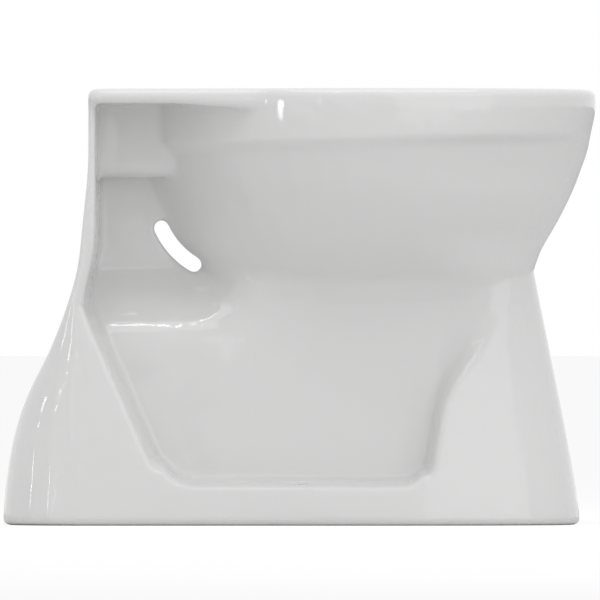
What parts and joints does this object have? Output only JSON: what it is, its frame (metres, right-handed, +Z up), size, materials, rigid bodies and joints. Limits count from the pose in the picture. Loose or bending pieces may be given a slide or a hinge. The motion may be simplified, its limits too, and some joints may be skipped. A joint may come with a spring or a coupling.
{
  "type": "washdown toilet",
  "caption": "Bare floor-standing washdown toilet pan in white glazed china with a flushing rim, seat shelf, slotted rear web, side pockets and a floor outlet.",
  "frame": {"origin": "middle of the whole object's box, on the floor", "axes": "+X towards the front of the bowl, +Y to the left of someone sitting on it, +Z up"},
  "size_m": [0.5444, 0.356, 0.4],
  "materials": {
    "glazed_china": "glossy white glaze on vitreous china",
    "seal_rubber": "matt moulded black rubber"
  },
  "bodies": {
    "root": {"rim_top": "glazed_china", "rim_side": "glazed_china", "rim_lip": "glazed_china", "inlet_neck": "glazed_china", "flush_distributor": "glazed_china", "bowl": "glazed_china", "back_plate": "glazed_china", "web": "glazed_china", "heel": "glazed_china", "trunk": "glazed_china", "toe": "glazed_china", "trap_bend": "glazed_china", "outlet_leg": "glazed_china", "inlet_seal": "seal_rubber", "outlet_seal": "seal_rubber"}
  },
  "joints": []
}
